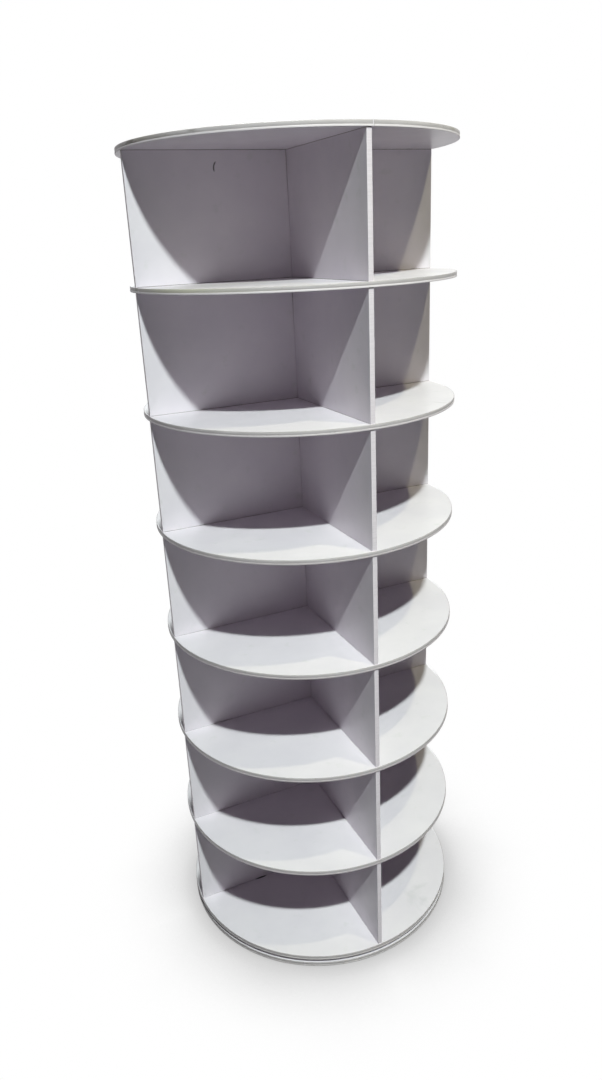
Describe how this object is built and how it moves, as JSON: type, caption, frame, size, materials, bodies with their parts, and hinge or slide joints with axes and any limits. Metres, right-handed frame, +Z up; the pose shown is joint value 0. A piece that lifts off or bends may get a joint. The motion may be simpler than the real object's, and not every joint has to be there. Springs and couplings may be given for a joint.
{
  "type": "revolving shoe rack",
  "caption": "Tall round revolving shoe rack: stacked white round shelves, each tier split by crossed upright panels, turning on a ball bearing over a round base.",
  "frame": {"origin": "centre of the underside of the base, on the floor", "axes": "+Z up along the axis that the tower turns about; +X along the wide back panels, to the right as the open front is seen; -Y towards the front, where the first divider points"},
  "size_m": [0.5999, 0.6, 1.594],
  "materials": {
    "white_board": "white melamine-faced fibreboard, satin",
    "edge_band": "light grey plastic edge band, satin",
    "ring_aluminium": "turned",
    "ball_steel": "polished",
    "cage_nylon": "moulded",
    "screw_zinc": "zinc plated",
    "dowel_beech": "fluted beech"
  },
  "bodies": {
    "base": {"base_disc": "white_board", "base_edge_band": "edge_band", "base_screws": "screw_zinc", "lower_bearing_ring": "ring_aluminium", "bearing_balls": "ball_steel", "ball_cage": "cage_nylon"},
    "tower": {"upper_bearing_ring": "ring_aluminium", "turntable_disc": "white_board", "turntable_edge_band": "edge_band", "turntable_screws": "screw_zinc", "turntable_dowels": "dowel_beech", "back_panel_1": "white_board", "divider_panel_1": "white_board", "panel_end_bands_1": "edge_band", "shelf_disc_1": "white_board", "shelf_edge_band_1": "edge_band", "shelf_dowels_1": "dowel_beech", "back_panel_2": "white_board", "divider_panel_2": "white_board", "panel_end_bands_2": "edge_band", "shelf_disc_2": "white_board", "shelf_edge_band_2": "edge_band", "shelf_dowels_2": "dowel_beech", "back_panel_3": "white_board", "divider_panel_3": "white_board", "panel_end_bands_3": "edge_band", "shelf_disc_3": "white_board", "shelf_edge_band_3": "edge_band", "shelf_dowels_3": "dowel_beech", "back_panel_4": "white_board", "divider_panel_4": "white_board", "panel_end_bands_4": "edge_band", "shelf_disc_4": "white_board", "shelf_edge_band_4": "edge_band", "shelf_dowels_4": "dowel_beech", "back_panel_5": "white_board", "divider_panel_5": "white_board", "panel_end_bands_5": "edge_band", "shelf_disc_5": "white_board", "shelf_edge_band_5": "edge_band", "shelf_dowels_5": "dowel_beech", "back_panel_6": "white_board", "divider_panel_6": "white_board", "panel_end_bands_6": "edge_band", "shelf_disc_6": "white_board", "shelf_edge_band_6": "edge_band", "shelf_dowels_6": "dowel_beech", "back_panel_7": "white_board", "divider_panel_7": "white_board", "panel_end_bands_7": "edge_band", "top_disc": "white_board", "top_edge_band": "edge_band", "top_dowels": "dowel_beech"}
  },
  "joints": [
    {"name": "turntable_spin", "type": "hinge", "parent": "base", "child": "tower", "pos_m": [0, 0, 0.013], "axis": [0, 0, 1], "continuous": true}
  ]
}
